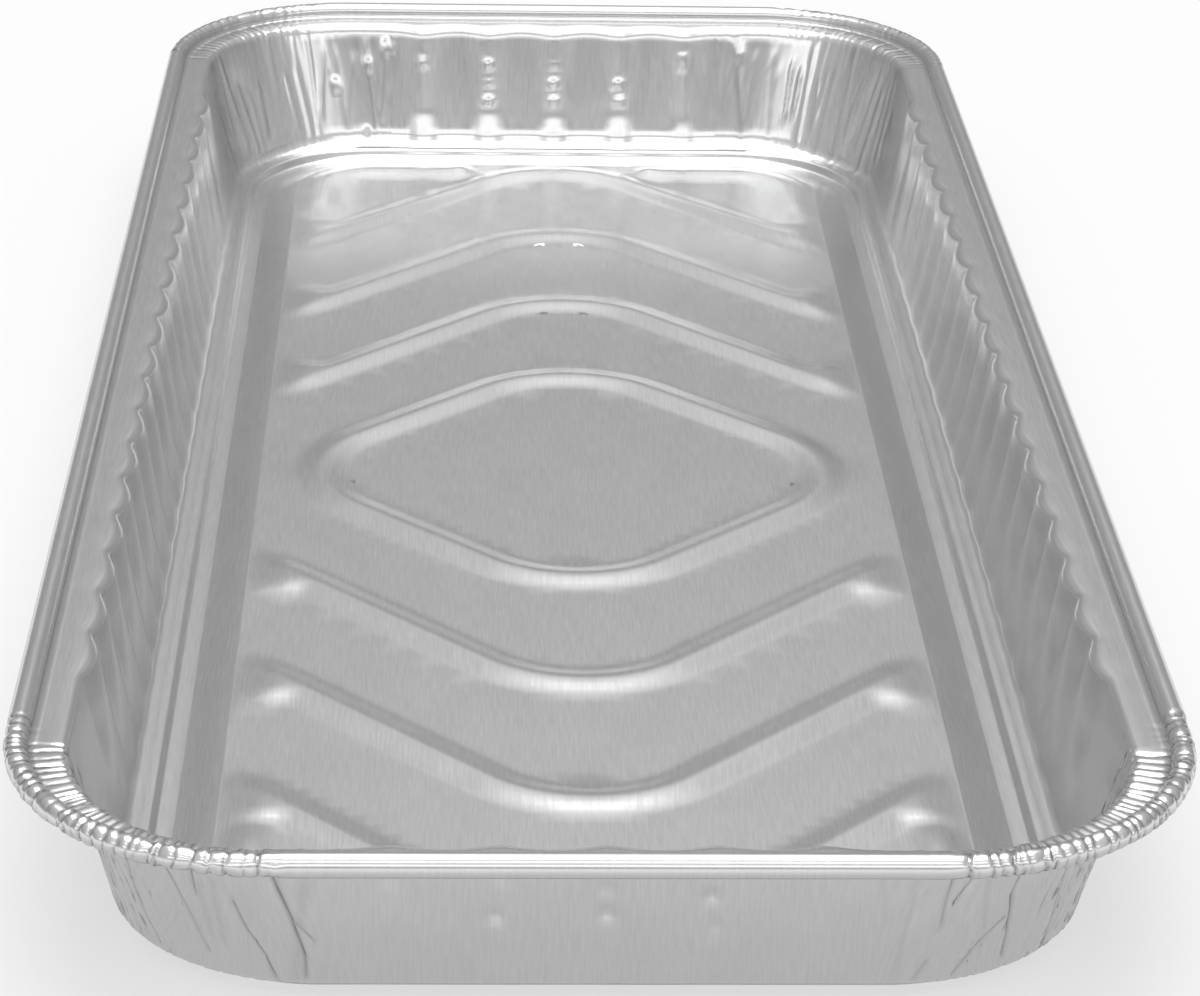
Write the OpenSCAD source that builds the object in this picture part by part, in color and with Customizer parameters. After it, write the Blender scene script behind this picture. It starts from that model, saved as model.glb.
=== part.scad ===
// Foil oblong cake pan, pressed from one sheet of aluminium foil.
// A curled rim, a flat flange, fluted side walls, ribbed end walls and
// pleated corners stand on a narrow foot channel, and the raised floor
// panel is stiffened by chevron beads on both sides of a diamond.
// Millimetres. The origin is under the middle of the pan, in the plane that
// it stands on, with the long axis along Y.

/* [Overall] */
// Length over the curled rim
pan_l = 345; // [300:1:420]
// Width over the curled rim
pan_w = 150; // [136:1:190]
// Height from the table to the top of the curl
pan_h = 27.6; // [20:0.1:50]
// Thickness of the foil, drawn stiff enough to be a sound solid
foil = 0.2; // [0.15:0.01:0.3]
// Radius of the rim's corners, measured at its outer edge
rim_corner_r = 34; // [31:0.5:40]

/* [Rim] */
// Diameter of the curled bead
curl_d = 3.2; // [2.6:0.1:4.4]
// Direction from the curl's middle to its rolled-in edge, in degrees from the flange side, over the top
curl_end = 290; // [280:5:310]
// How far the flange lies below the middle of the curl
flange_drop = 0.7; // [0.4:0.05:1]
// Width of the flat flange inside the curl
flange_w = 3.6; // [2.5:0.1:5]
// Radius that turns the flange down into the wall
wall_top_r = 1.8; // [1:0.1:3]

/* [Walls] */
// How far the wall leans in on its way down
wall_lean = 3.6; // [2:0.1:6]
// Radius of the wall's corners at the foot
foot_corner_r = 28; // [26:0.5:32]
// Chamfer between the wall and the outer ledge
foot_bend = 1.4; // [0.8:0.1:2]
// Number of flutes on each long wall
flute_count = 19; // [7:2:27]
// Depth of the flutes at the top of the long walls
flute_d = 1.3; // [0.4:0.1:2]
// Plain wall between the last flute and the corner, besides half a flute's width
flute_margin = 5.6; // [3:0.1:10]
// Number of ribs on each end wall
rib_count = 5; // [1:2:5]
// Plain wall between the last rib's hollow and the corner
rib_margin = 2.5; // [1:0.1:6]
// Depth of the ribs at the top of the end walls
rib_d = 1.5; // [0.4:0.1:2]
// Share of a flute's or rib's depth that is left at the foot
fade = 0.15; // [0:0.05:0.6]
// Number of pleats pressed into each corner
pleat_count = 6; // [4:1:8]
// Depth of the pleats in the wall's corners
pleat_d = 0.35; // [0.1:0.05:0.6]

/* [Base] */
// Width of the outer ledge at the foot of the wall
ledge_w = 2.6; // [2:0.1:4]
// Height of the outer ledge over the table
ledge_h = 1.6; // [0.8:0.1:2.4]
// Run of the step from the ledge down to the foot channel
step_run = 0.5; // [0.3:0.1:1]
// Width of the foot channel that the pan stands on
channel_w = 2.4; // [1.5:0.1:4]
// Run of the slope from the channel up to the floor panel
slope_run = 5.7; // [4:0.1:7]
// Height of the floor panel over the table
panel_h = 1.34; // [0.8:0.02:2]

/* [Floor beads] */
// Width of a stiffening bead at its foot
bead_w = 7.2; // [5:0.1:8]
// Width of the flat top of a bead
bead_top = 2.6; // [1.5:0.1:4]
// Height of a bead over the floor panel
bead_h = 0.75; // [0.4:0.05:1.2]
// Distance along the pan from one chevron to the next
chevron_pitch = 35.2; // [30:0.1:36]
// Chevrons on each side of the diamond
chevron_count = 3; // [1:1:3]
// Gap between a chevron's round end and the side of the panel
chevron_gap = 3.5; // [1:0.1:8]
// Half diagonal of the diamond along the pan, at its sharp corner
diamond_y = 47.5; // [42:0.1:50]
// Gap between the diamond's sharp side corner and the side of the panel
diamond_gap = 1; // [0:0.1:6]
// Radius of every bend in the beads, along the middle of the bead
bend_r = 20; // [10:0.5:24]
// Half gap between the two corner beads at each end
corner_bead_gap = 18.6; // [16:0.1:22]
// How far a corner bead runs down the side from the end of the panel
corner_bead_leg = 24; // [20:0.5:26]
// Flat rim left on the panel outside every bead
bead_margin = 0.3; // [0.1:0.1:1]
// Distance that the whole bead pattern sits off the middle of the pan
pattern_shift = -1.6; // [-3:0.1:3]

/* [Hidden] */
// Facets along one ridge, round one corner, round one bend of a bead and round a bead's end
ridge_steps = 4;
corner_steps = 2*pleat_count;
bend_steps = 3;
bead_fn = 8;
// How far the walls' strip of foil reaches into the outer ledge, to join it
overlap = 0.4;
// How far a bead's solid reaches below the surface that it rises from
bead_root = foil/2;
// Share of the ridges' depth that already shows where the flange turns down
shoulder = 0.4;
curl_r = curl_d/2;
curl_z = pan_h - curl_r;
// The curl leaves the flange at this angle below the horizontal
curl_start = asin(flange_drop/curl_r);
curl_angles = [-curl_start, (90 - curl_start)/2, 90, 135, 180, 225, 270, curl_end];
flange_z = curl_z - flange_drop;
// Distances in from the outer edge of the rim to where each part of the section ends
in_flange = curl_r + curl_r*cos(curl_start) - foil/2;
in_wall_top = in_flange + flange_w;
in_wall = in_wall_top + wall_top_r;
in_foot = in_wall + wall_lean;
in_ledge = in_foot + foot_bend;
in_step = in_ledge + ledge_w;
in_channel = in_step + step_run;
in_slope = in_channel + channel_w;
in_panel = in_slope + slope_run;
// Length of the stretch on a long wall that holds the flutes and half a pitch beyond them, and
// the pitch of the flutes
flute_zone = pan_l - 2*in_foot - 2*foot_corner_r - 2*flute_margin;
flute_pitch = flute_zone/(flute_count + 1);
// The same for the ribs on an end wall
rib_zone = pan_w - 2*in_foot - 2*foot_corner_r - 2*rib_margin;
rib_pitch = rib_zone/rib_count;
panel_x = pan_w/2 - in_panel;
panel_y = pan_l/2 - in_panel;
panel_r = ring_r(in_panel);
chevron_reach = panel_x - bead_w/2 - chevron_gap;
diamond_x = panel_x - diamond_gap;

// Corner radius of the ring that lies a distance in from the rim's edge
function ring_r(inset) =
    inset <= in_wall ? rim_corner_r - inset
    : inset <= in_foot ? rim_corner_r - in_wall
        + (foot_corner_r - rim_corner_r + in_wall)*(inset - in_wall)/(in_foot - in_wall)
    : max(bead_w, foot_corner_r - (inset - in_foot));

// How far a ridged wall stands in at a place along it: flutes are round with sharp grooves
// between them, and ribs are sharp with round troughs between them
function flute_in(y) = abs(y) < flute_count*flute_pitch/2 ? abs(cos(180*y/flute_pitch)) : 0;
function rib_in(x) = 1 - abs(sin(180*x/rib_pitch));

// Stations along a wall of count ridges, from its low end to its high end
function stations(count, pitch) =
    let (half = count*ridge_steps/2)
    [for (i = [-half:half]) i*pitch/ridge_steps];
function side_stations() = stations(flute_count + 1, flute_pitch);
function end_stations() = stations(rib_count, rib_pitch);

// One ring of the wall: flute, rib and pleat are depths, and plain rings have none
function wall_ring(inset, z, flute = 0, rib = 0, pleat = 0) =
    let (hx = pan_w/2 - inset, hy = pan_l/2 - inset, r = ring_r(inset))
    concat(
        [for (y = side_stations()) [hx - flute*flute_in(y), y, z]],
        corner_arc(hx, hy, r, 0, z, pleat),
        [for (x = end_stations()) [-x, hy - rib*rib_in(x), z]],
        corner_arc(hx, hy, r, 1, z, pleat),
        [for (y = side_stations()) [-hx + flute*flute_in(y), -y, z]],
        corner_arc(hx, hy, r, 2, z, pleat),
        [for (x = end_stations()) [x, -hy + rib*rib_in(x), z]],
        corner_arc(hx, hy, r, 3, z, pleat));

// A ring of corners only, for the rim and the base
function plain_ring(inset, z, pleat = 0) =
    let (hx = pan_w/2 - inset, hy = pan_l/2 - inset, r = ring_r(inset))
    [for (q = [0:3]) each corner_arc(hx, hy, r, q, z, pleat)];

// One corner's points, with every second one set in by the depth of a pleat
function corner_arc(hx, hy, r, quarter, z, pleat) =
    let (sx = quarter == 0 || quarter == 3 ? 1 : -1, sy = quarter < 2 ? 1 : -1)
    [for (i = [0:corner_steps])
        let (a = 90*quarter + 90*i/corner_steps, rr = r - (i % 2 == 1 ? pleat : 0))
        [sx*(hx - r) + rr*cos(a), sy*(hy - r) + rr*sin(a), z]];

// Rings of equal length joined into a solid, bottom ring first, with a lid on the first and last ring
module loft(rings) {
    n = len(rings[0]);
    m = len(rings);
    polyhedron(
        points = [for (r = rings) each r],
        faces = concat(
            [[for (i = [0:n - 1]) i]],
            [for (k = [0:m - 2], i = [0:n - 1]) each band_faces(k, k + 1, i, n)],
            [[for (i = [n - 1:-1:0]) (m - 1)*n + i]]),
        convexity = 10);
}

// Rings joined into a closed tube round the pan. The first half of the bands is one skin of the
// foil and the second half is the other, which runs back, so its faces are split the other way
// and the two skins stay parallel where a ridge fades
module tube(rings) {
    n = len(rings[0]);
    m = len(rings);
    polyhedron(
        points = [for (r = rings) each r],
        faces = [for (k = [0:m - 1], i = [0:n - 1]) each band_faces(k, (k + 1) % m, i, n, k >= m/2)],
        convexity = 10);
}

function band_faces(k, next, i, n, back = false) =
    let (a = k*n + i, b = k*n + (i + 1) % n, c = next*n + (i + 1) % n, d = next*n + i)
    back ? [[a, d, b], [d, c, b]] : [[a, d, c], [a, c, b]];

// The curled bead: a C in section, open under the flange
module rim_curl() {
    last = len(curl_angles) - 1;
    outer = [for (i = [last:-1:0]) curl_ring(curl_r, curl_angles[i])];
    inner = [for (i = [0:last]) curl_ring(curl_r - foil, curl_angles[i])];
    tube(concat(outer, inner));
}

function curl_ring(r, a) = plain_ring(curl_r + r*cos(a), curl_z + r*sin(a), pleat_d/2);

// Flange and walls as one strip of foil, from the curl down to the outer ledge
module walls() {
    upper = [
        wall_ring(in_flange, flange_z + foil, 0, 0, pleat_d/2),
        wall_ring(in_wall_top, flange_z + foil, flute_d*shoulder, rib_d*shoulder, pleat_d/2),
        wall_ring(in_wall, flange_z + foil - wall_top_r, flute_d, rib_d, pleat_d),
        wall_ring(in_foot + foil, ledge_h + foil + foot_bend, flute_d*fade, rib_d*fade, pleat_d),
        wall_ring(in_ledge, ledge_h + foil),
        wall_ring(in_ledge + overlap, ledge_h + foil)];
    lower = [
        wall_ring(in_ledge + overlap, ledge_h),
        wall_ring(in_ledge, ledge_h),
        wall_ring(in_foot, ledge_h + foot_bend, flute_d*fade, rib_d*fade, pleat_d),
        wall_ring(in_wall - foil, flange_z - wall_top_r, flute_d, rib_d, pleat_d),
        wall_ring(in_wall_top - foil, flange_z, flute_d*shoulder, rib_d*shoulder, pleat_d/2),
        wall_ring(in_flange, flange_z, 0, 0, pleat_d/2)];
    tube(concat(upper, lower));
}

// Ledge, foot channel, slope and floor panel, before the beads are pressed
module base() {
    underside = [
        plain_ring(in_panel, panel_h),
        plain_ring(in_slope, 0),
        plain_ring(in_channel - foil, 0),
        plain_ring(in_step - foil, ledge_h),
        plain_ring(in_ledge, ledge_h)];
    top = [
        plain_ring(in_ledge, ledge_h + foil),
        plain_ring(in_step, ledge_h + foil),
        plain_ring(in_channel, foil),
        plain_ring(in_slope, foil),
        plain_ring(in_panel, panel_h + foil)];
    loft(concat(underside, top));
}

// Route of a bead round one bend: from a to c, rounded at b
function rounded(a, b, c, r) =
    let (
        u = (a - b)/norm(a - b),
        v = (c - b)/norm(c - b),
        half = acos(u*v)/2,
        m = b + (u + v)/norm(u + v)*r/sin(half),
        p = b + u*r/tan(half) - m,
        q = b + v*r/tan(half) - m,
        turn = 180 - 2*half)
    concat([a], [for (i = [0:bend_steps])
        let (t = i/bend_steps) m + (p*sin((1 - t)*turn) + q*sin(t*turn))/sin(turn)], [c]);

// A chevron's arms run back from its tip at 45 degrees
function chevron_route(k, side) =
    let (tip = diamond_y + k*chevron_pitch, back = tip - chevron_reach)
    rounded([-chevron_reach, side*back], [0, side*tip], [chevron_reach, side*back], bend_r);

function diamond_route() =
    let (far = [0, diamond_y], left = [-diamond_x, 0], near = [0, -diamond_y], right = [diamond_x, 0])
    [for (p = [[right, far, left], [far, left, near], [left, near, right], [near, right, far]])
        each [for (i = [1:bend_steps + 1]) rounded(p[0], p[1], p[2], bend_r)[i]]];

// A corner bead follows the edge of the panel round one corner
function corner_route(sx, sy) =
    let (edge = bead_margin + bead_w/2, x = panel_x - edge, y = panel_y - edge)
    rounded([sx*corner_bead_gap, sy*y], [sx*x, sy*y], [sx*x, sy*(y - corner_bead_leg)], panel_r - edge);

module bead(route, closed = false) {
    n = len(route);
    for (i = [0 : n - (closed ? 1 : 2)])
        hull() {
            bead_end(route[i]);
            bead_end(route[(i + 1) % n]);
        }
}

module bead_end(at) {
    translate([at[0], at[1], 0])
        cylinder(r1 = bead_w/2, r2 = bead_top/2, h = bead_h, $fn = bead_fn);
    translate([at[0], at[1], -bead_root])
        cylinder(r = bead_w/2, h = bead_root, $fn = bead_fn);
}

// Every bead on the floor panel, as ridges standing on z = 0 and kept off the panel's edge
module bead_pattern(margin) {
    intersection() {
        union() {
            translate([0, pattern_shift, 0]) {
                bead(diamond_route(), true);
                for (k = [1:chevron_count], side = [-1, 1])
                    bead(chevron_route(k, side));
            }
            for (sx = [-1, 1], sy = [-1, 1])
                bead(corner_route(sx, sy));
        }
        loft([plain_ring(in_panel + margin, -bead_h), plain_ring(in_panel + margin, 2*bead_h)]);
    }
}

module pan() {
    color("silver")
        difference() {
            union() {
                rim_curl();
                walls();
                base();
                translate([0, 0, panel_h + foil])
                    bead_pattern(bead_margin);
            }
            translate([0, 0, panel_h])
                bead_pattern(bead_margin + foil);
        }
}

pan();
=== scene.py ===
import math
import random

import bmesh
import bpy
import numpy as np
from mathutils import Matrix, Vector, noise


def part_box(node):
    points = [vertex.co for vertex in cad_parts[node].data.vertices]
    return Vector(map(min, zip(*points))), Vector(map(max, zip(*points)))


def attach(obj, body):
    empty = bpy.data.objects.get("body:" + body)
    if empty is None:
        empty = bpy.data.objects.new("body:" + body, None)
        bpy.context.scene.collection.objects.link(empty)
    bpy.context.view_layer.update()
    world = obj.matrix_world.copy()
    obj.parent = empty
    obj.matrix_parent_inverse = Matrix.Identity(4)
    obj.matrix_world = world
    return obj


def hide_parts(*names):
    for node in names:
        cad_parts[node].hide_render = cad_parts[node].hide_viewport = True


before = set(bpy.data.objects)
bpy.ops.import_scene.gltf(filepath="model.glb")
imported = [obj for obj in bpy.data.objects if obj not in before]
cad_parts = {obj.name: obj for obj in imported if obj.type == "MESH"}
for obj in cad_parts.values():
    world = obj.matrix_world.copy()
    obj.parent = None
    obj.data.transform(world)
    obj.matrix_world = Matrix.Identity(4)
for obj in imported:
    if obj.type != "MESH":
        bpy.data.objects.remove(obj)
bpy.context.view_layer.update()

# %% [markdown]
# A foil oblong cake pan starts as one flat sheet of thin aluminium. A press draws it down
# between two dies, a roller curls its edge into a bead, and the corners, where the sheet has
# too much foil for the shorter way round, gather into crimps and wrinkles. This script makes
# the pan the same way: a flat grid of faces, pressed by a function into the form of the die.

mm = 0.001
pan_low, pan_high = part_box("pan")
half_w, half_l, pan_h = pan_high
print("pan", [round(side / mm, 2) for side in pan_high - pan_low], "mm")

# %% [markdown]
# The camera comes first, because every later choice is judged through it. It stands in front
# of one short end and looks down at 24 degrees with a long lens, so the far end is drawn only
# a little narrower than the near one.

# %% The camera
camera_place = Vector((-0.0176, -0.5537, 0.2472))
look_down = math.radians(24.38)
turn_right = math.radians(2.30)
tilt = math.radians(1.27)
lens_mm = 111.8

camera_data = bpy.data.cameras.new("camera")
camera_data.lens = lens_mm
camera_data.clip_start = 0.01
camera = bpy.data.objects.new("camera", camera_data)
bpy.context.scene.collection.objects.link(camera)
camera.matrix_world = (
    Matrix.Translation(camera_place)
    @ Matrix.Rotation(-turn_right, 4, "Z")
    @ Matrix.Rotation(math.pi / 2 - look_down, 4, "X")
    @ Matrix.Rotation(tilt, 4, "Z")
)
bpy.context.scene.camera = camera
print("camera", lens_mm, "mm lens")

# %% [markdown]
# Bare metal shows its surroundings more than its own colour, so the light is set in nodes, as a
# sum of soft ramps. A small class wraps one socket, and its sums and products add Math nodes.
# A second one holds the tree, and its one method makes every other kind of node.

# %% Nodes and their sums
class Socket:
    """One output socket; arithmetic on it adds Math nodes."""

    def __init__(self, graph, output):
        self.graph = graph
        self.output = output

    def _math(self, operation, *values):
        return self.graph.node("ShaderNodeMath", {"operation": operation}, dict(enumerate(values)))

    def __add__(self, other):
        return self._math("ADD", self, other)

    def __sub__(self, other):
        return self._math("SUBTRACT", self, other)

    def __rsub__(self, other):
        return self._math("SUBTRACT", other, self)

    def __mul__(self, other):
        return self._math("MULTIPLY", self, other)

    __radd__ = __add__
    __rmul__ = __mul__

    def largest(self, other):
        """The larger of two values."""
        return self._math("MAXIMUM", self, other)


class Graph:
    """The node tree of a material or world."""

    def __init__(self, owner):
        owner.use_nodes = True
        self.tree = owner.node_tree

    def node(self, kind, settings=None, inputs=None, output=0):
        """Adds a node with its settings and inputs, and gives back one of its outputs."""
        made = self.tree.nodes.new(kind)
        for name, value in (settings or {}).items():
            setattr(made, name, value)
        self.feed(made, inputs or {})
        return Socket(self, made.outputs[output])

    def feed(self, node, inputs):
        """Links or sets a node's inputs."""
        for name, value in inputs.items():
            if isinstance(value, Socket):
                self.tree.links.new(value.output, node.inputs[name])
            else:
                node.inputs[name].default_value = value

    def existing(self, name):
        """A node that the tree has from the start."""
        return self.tree.nodes[name]


# %% [markdown]
# The world is even and dim at the horizon and brighter overhead. A narrow beam straight ahead
# of the camera grows with the height, and the floor of the pan shows it. A weaker glow on both
# sides behind the camera lights the far corners. Camera rays see plain white.

# %% The world
low_light = 0.37
low_sky, sky_gain = 0.3, 0.55
beam_middle, beam_reach = 0.05, (0.22, 0.06)
beam_behind, beam_ahead = -0.05, 0.25
beam_low, beam_gain, beam_sky = 0.02, 1.1, 0.38
side_light = 0.17
aside_from, aside_to = 0.25, 0.7
behind_from, behind_to = -0.1, 0.4
world = bpy.data.worlds.new("studio")
bpy.context.scene.world = world
sky = Graph(world)
direction = sky.node("ShaderNodeTexCoord", output="Generated")


def parts_of(graph, vector, axes):
    """A vector's parts along some axes."""
    kind, inputs = "ShaderNodeSeparateXYZ", {"Vector": vector}
    return [graph.node(kind, inputs=inputs, output=axis) for axis in axes]


def ramp(graph, value, low, high):
    """A soft ramp from 0 at low to 1 at high."""
    return graph.node(
        "ShaderNodeMapRange",
        {"interpolation_type": "SMOOTHSTEP"},
        {"Value": value, "From Min": low, "From Max": high},
    )


across, ahead, up = parts_of(sky, direction, "XYZ")
beside = (across - beam_middle).largest(beam_middle - across)
beam = ramp(sky, beside, *beam_reach) * ramp(sky, ahead, beam_behind, beam_ahead)
aside = ramp(sky, across.largest(across * -1), aside_from, aside_to)
behind = ramp(sky, ahead * -1, behind_from, behind_to)
glow = (
    (up - low_sky).largest(0) * sky_gain
    + beam * ((up - beam_sky).largest(0) * beam_gain + beam_low)
    + aside * behind * side_light
    + low_light
)
seen = sky.node("ShaderNodeLightPath", output="Is Camera Ray")
sky.feed(sky.existing("Background"), {"Color": (1, 1, 1, 1), "Strength": glow * (1 - seen) + seen})
print("world", len(sky.tree.nodes), "nodes")

# %% [markdown]
# The floor is pale and takes the pan's shadow. To camera rays it glows a little, so that it
# fades into the white behind it. To the metal it glows too, with a painted shade close to the
# pan, where the pan's own shade falls.

# %% The studio floor
floor_size = 12
floor_gap = 0.05 * mm
bpy.ops.mesh.primitive_plane_add(size=floor_size, location=(0, 0, -floor_gap))
studio_floor = bpy.context.object
studio_floor.name = "studio_floor"
floor_paint = bpy.data.materials.new("floor_paint")
paint = Graph(floor_paint)
paint.feed(paint.existing("Principled BSDF"), {"Base Color": (0.8, 0.8, 0.8, 1), "Roughness": 1.0})
near_glow, far_glow = 0.64, 1.08
glow_from, glow_to = 0, 0.09
camera_share, glossy_share = 0.55, 0.8
on_floor = paint.node("ShaderNodeTexCoord", output="Object")
east, north = parts_of(paint, on_floor, "XY")
beyond_side = (east.largest(east * -1) - half_w).largest(0)
beyond_end = (north.largest(north * -1) - half_l).largest(0)
beyond = paint.node("ShaderNodeCombineXYZ", inputs={"X": beyond_side, "Y": beyond_end})
clear = paint.node("ShaderNodeVectorMath", {"operation": "LENGTH"}, {0: beyond}, output="Value")
# Painted shade: the glow that the metal sees is dimmer close to the pan.
painted_shade_glow = ramp(paint, clear, glow_from, glow_to) * (far_glow - near_glow) + near_glow
seen = paint.node("ShaderNodeLightPath", output="Is Camera Ray")
glossy = paint.node("ShaderNodeLightPath", output="Is Glossy Ray")
glow = paint.node("ShaderNodeEmission", inputs={"Strength": seen + (1 - seen) * painted_shade_glow})
matt = Socket(paint, paint.existing("Principled BSDF").outputs[0])
share = (seen * camera_share).largest(glossy * glossy_share)
surface = paint.node("ShaderNodeMixShader", inputs={0: share, 1: matt, 2: glow})
paint.feed(paint.existing("Material Output"), {"Surface": surface})
studio_floor.data.materials.append(floor_paint)
print("floor", floor_size, "m wide")

# %% [markdown]
# Three softboxes give the bright lines on the edges. One hangs over the pan, and two stand
# behind the camera, one low and one high, with dark between them.

# %% The softboxes
def softbox(name, place, look_at, size, radiance):
    """A rectangular light that faces a point, as bright per area as its radiance says."""
    light = bpy.data.lights.new(name, "AREA")
    light.shape = "RECTANGLE"
    light.size, light.size_y = size
    light.energy = radiance * math.pi * size[0] * size[1]
    lamp = bpy.data.objects.new(name, light)
    bpy.context.scene.collection.objects.link(lamp)
    lamp.location = place
    lamp.rotation_euler = (Vector(look_at) - Vector(place)).to_track_quat("-Z", "Y").to_euler()
    print(name, "softbox", size, "m")


softbox("overhead", place=(0, 0.16, 1.3), look_at=(0, 0.1, 0), size=(1.2, 1.08), radiance=2.4)
softbox("low_front", place=(0, -1.8, 0.76), look_at=(0, 0, 0), size=(4.2, 0.56), radiance=1.25)
softbox("high_front", place=(0, -2.2, 3.0), look_at=(0, 0, 0), size=(4.0, 1.0), radiance=1.2)

# %% [markdown]
# The section of the pan is one line, from the rolled edge under the rim to the floor panel.
# Every point on it has an inset, its distance in from the outside of the rim, and a height.
# The line is drawn with sharp corners, and each corner is then rounded by its own radius,
# as a press tool is.

# %% The section
foil = 0.12 * mm
curl_r = 1.6 * mm
valley_drop = 0.75 * mm
curl_end = math.radians(290)
curl_steps = 12
curl_z = pan_h - curl_r
valley_z = curl_z - valley_drop
wall_top_inset = 8.0 * mm
wall_foot_inset = 12.4 * mm
side_top_r, side_foot_r = 1.3 * mm, 1.4 * mm
end_top_r, end_foot_r = 2.5 * mm, 3.6 * mm
side_step_r, end_step_r = 0.3 * mm, 0.9 * mm
slope_foot_r, slope_top_r = 0.4 * mm, 0.5 * mm
wall_arc_steps, floor_arc_steps = 4, 2
straight_steps = [3, 5, 2, 1, 1, 3, 1]
ledge_z = 1.8 * mm
step_inset = 15.94 * mm
channel_inset = 16.44 * mm
channel_z = 0.2 * mm
slope_inset = 18.84 * mm
panel_inset = 24.54 * mm
panel_z = 1.54 * mm
panel_lip = 0.12 * mm
drop = channel_z - foil


def rounded_corner(before, corner, after, radius, steps):
    """Points of the arc that rounds a corner of the section."""
    back = (before - corner).normalized()
    on = (after - corner).normalized()
    half = back.angle(on) / 2
    middle = corner + (back + on).normalized() * radius / math.sin(half)
    start = corner + back * radius / math.tan(half) - middle
    end = corner + on * radius / math.tan(half) - middle
    turn = math.pi - 2 * half
    arc = []
    for i in range(steps + 1):
        to_start = math.sin((1 - i / steps) * turn)
        to_end = math.sin(i / steps * turn)
        arc.append(middle + (start * to_start + end * to_end) / math.sin(turn))
    return arc


valley_angle = math.asin((valley_z - curl_z) / curl_r)
valley_row = curl_steps


def section_line(top_r, foot_r, step_r):
    """The section's points, and the first and last row of each rounded corner."""
    points = [
        Vector((curl_r + curl_r * math.cos(angle), curl_z + curl_r * math.sin(angle)))
        for angle in np.linspace(curl_end, valley_angle, curl_steps + 1)
    ]
    corners = [
        (wall_top_inset, valley_z, top_r, wall_arc_steps),
        (wall_foot_inset, ledge_z, foot_r, wall_arc_steps),
        (step_inset, ledge_z, step_r, floor_arc_steps),
        (channel_inset, channel_z, step_r, floor_arc_steps),
        (slope_inset, channel_z, slope_foot_r, floor_arc_steps),
        (panel_inset, panel_z, slope_top_r, floor_arc_steps),
        (panel_inset + panel_lip, panel_z, 0, 0),
    ]
    corner_rows = []
    for i, (inset, height, radius, steps) in enumerate(corners):
        corner = Vector((inset, height))
        if steps:
            before = Vector(corners[i - 1][:2]) if i else points[-1]
            arc = rounded_corner(before, corner, Vector(corners[i + 1][:2]), radius, steps)
        else:
            arc = [corner]
        start = points[-1]
        for k in range(1, straight_steps[i]):
            points.append(start.lerp(arc[0], k / straight_steps[i]))
        corner_rows.append((len(points), len(points) + steps))
        points += arc
    return points, corner_rows


section, corner_rows = section_line(side_top_r, side_foot_r, side_step_r)
end_section, _ = section_line(end_top_r, end_foot_r, end_step_r)
(wall_top_row, wall_row), (foot_row, ledge_row) = corner_rows[:2]
section_inset = np.array([point.x for point in section])
section_z = np.array([point.y - drop for point in section])
end_inset = np.array([point.x for point in end_section])
end_z = np.array([point.y - drop for point in end_section])
row_steps = np.hypot(np.diff(section_inset), np.diff(section_z))
print("section", len(section), "rows, wall", wall_row, "to", foot_row, "and ledge", ledge_row)

# %% [markdown]
# The way round the pan is four quarters, each a straight stretch and a corner. A column number
# says how far round a point is, and a row number how far along the section. The flat grid is
# drawn in these two numbers, so finer faces can be cut in exactly where the pan has detail.

# %% Columns round the pan
flute_count = 19
rib_count = 5
corner_columns = 24
far_turn, near_turn, near_corners = 1, 3, (2, 3)
long_side = {
    "margin": 2,
    "ridged": 2 * (flute_count + 1),
    "ridges": flute_count + 1,
    "half": 126.8 * mm,
}
end_side = {
    "margin": 3,
    "ridged": 4 * rib_count,
    "ridges": rib_count,
    "half": 32.56 * mm,
}
quarters = []
column = 0
for turn in range(4):
    side = dict(end_side if turn % 2 else long_side)
    side["turn"] = turn
    side["start"] = column
    side["corner"] = column + 2 * side["margin"] + side["ridged"]
    side["end"] = side["corner"] + corner_columns
    side["out"], side["along"] = (half_l, half_w) if turn % 2 else (half_w, half_l)
    quarters.append(side)
    column = side["end"]
columns = column
print("columns", columns)

# %% [markdown]
# The sheet starts as a flat grid, in which one cell is one column by one row. Cutting all of it
# as finely as the crimps need would take far too many faces, so only the blocks with flutes,
# ribs or crimps are cut, and the plain stretches stay coarse.

# %% The flat sheet
along_cuts, crimp_cuts, beside_cuts = 3, 1, 11
rib_down_cuts, wall_down_cuts, foot_down_cuts = 3, 2, 2


def flat_grid(across, up):
    """A flat grid of unit cells with its first corner at zero."""
    bm = bmesh.new()
    bmesh.ops.create_grid(bm, x_segments=across, y_segments=up, size=0.5)
    bmesh.ops.scale(bm, vec=(across, up, 1), verts=bm.verts)
    bmesh.ops.translate(bm, vec=(across / 2, up / 2, 0), verts=bm.verts)
    return bm


def cut_cells(bm, direction, cuts, column_range, row_range):
    """Cuts the edges that run in one direction in a block of cells."""
    slack = 1e-4
    left, right = column_range[0] - slack, column_range[1] + slack
    low, high = row_range[0] - slack, row_range[1] + slack
    chosen = []
    for edge in bm.edges:
        a, b = (vert.co for vert in edge.verts)
        if abs((a - b)[1 - direction]) > slack:
            continue
        middle = (a + b) / 2
        if left < middle.x < right and low < middle.y < high:
            chosen.append(edge)
    bmesh.ops.subdivide_edges(bm, edges=chosen, cuts=cuts, use_grid_fill=True)


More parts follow.
